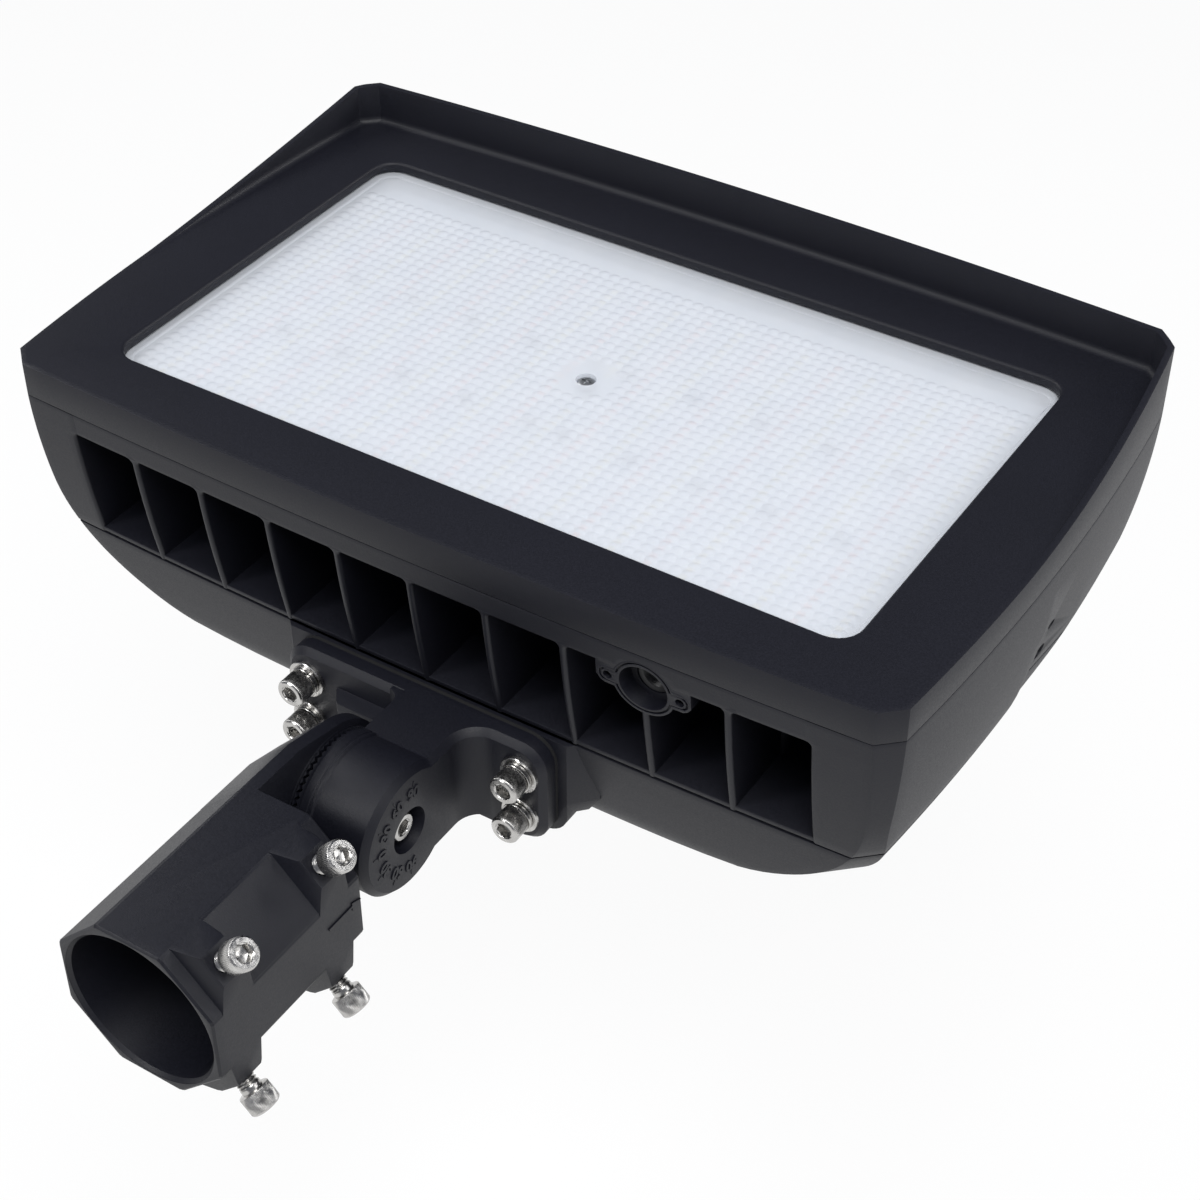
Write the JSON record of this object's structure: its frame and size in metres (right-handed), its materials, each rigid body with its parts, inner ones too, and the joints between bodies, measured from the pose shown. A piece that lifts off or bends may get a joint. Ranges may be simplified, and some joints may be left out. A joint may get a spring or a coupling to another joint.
{
  "type": "flood light",
  "caption": "Outdoor flood light: wide flat head with a domed lens sheet, ducted heat sink and low visor, on a toothed tilting slip fitter for a pole.",
  "frame": {"origin": "centre of the mouth of the slip fitter's bore", "axes": "+X along the head's long side, towards the side with the tilt scale; +Y along the fitter's bore, from its mouth towards the head; +Z out of the lens"},
  "size_m": [0.4, 0.4025, 0.1639],
  "materials": {
    "black_powder_coat": "black polyester powder coat on die-cast aluminium, fine texture, satin",
    "lens_plastic": "clear moulded optical plastic, glossy",
    "warm_led": "LED packages with a warm phosphor",
    "cool_led": "LED packages with a pale yellow phosphor",
    "white_board": "white solder mask on an aluminium core board",
    "stainless": "stainless steel, bright",
    "zinc_steel": "zinc-plated steel",
    "black_rubber": "black silicone rubber, matt",
    "grey_socket": "dark moulded plastic",
    "driver_case": "extruded aluminium case, clear anodised",
    "surge_case": "moulded plastic case",
    "terminal_plastic": "white moulded plastic"
  },
  "bodies": {
    "fitter": {"slip_fitter": "black_powder_coat", "pivot_bolt": "stainless", "pivot_nut": "stainless"},
    "head": {"bezel_frame": "black_powder_coat", "lens_gasket": "black_rubber", "lens_cover": "lens_plastic", "lens_screw": "stainless", "warm_led_rows": "warm_led", "cool_led_rows": "cool_led", "led_board": "white_board", "board_screws": "zinc_steel", "frame_screws": "stainless", "heat_sink": "black_powder_coat", "sensor_socket": "grey_socket", "cover_gasket": "black_rubber", "cover_screws": "stainless", "back_cover": "black_powder_coat", "driver": "driver_case", "surge_protector": "surge_case", "terminal_block": "terminal_plastic", "inside_screws": "zinc_steel", "side_screws": "stainless", "bracket_gasket": "black_rubber", "knuckle_bracket": "black_powder_coat", "bracket_screws": "stainless", "spring_washers": "stainless", "flat_washers": "stainless"},
    "clamp_screw_1": {"tenon_screw_1": "stainless"},
    "clamp_screw_2": {"tenon_screw_2": "stainless"},
    "clamp_screw_3": {"tenon_screw_3": "stainless"},
    "clamp_screw_4": {"tenon_screw_4": "stainless"}
  },
  "joints": [
    {"name": "head_tilt", "type": "hinge", "parent": "fitter", "child": "head", "pos_m": [0, 0.118, 0], "axis": [1, 0, 0], "range_deg": [-90, 80]},
    {"name": "clamp_screw_1_travel", "type": "slide", "parent": "fitter", "child": "clamp_screw_1", "axis": [-0.7071, 0, -0.7071], "range_m": [0, 0.0055]},
    {"name": "clamp_screw_2_travel", "type": "slide", "parent": "fitter", "child": "clamp_screw_2", "axis": [-0.7071, 0, -0.7071], "range_m": [0, 0.0055]},
    {"name": "clamp_screw_3_travel", "type": "slide", "parent": "fitter", "child": "clamp_screw_3", "axis": [-0.7071, 0, 0.7071], "range_m": [0, 0.0055]},
    {"name": "clamp_screw_4_travel", "type": "slide", "parent": "fitter", "child": "clamp_screw_4", "axis": [-0.7071, 0, 0.7071], "range_m": [0, 0.0055]}
  ]
}
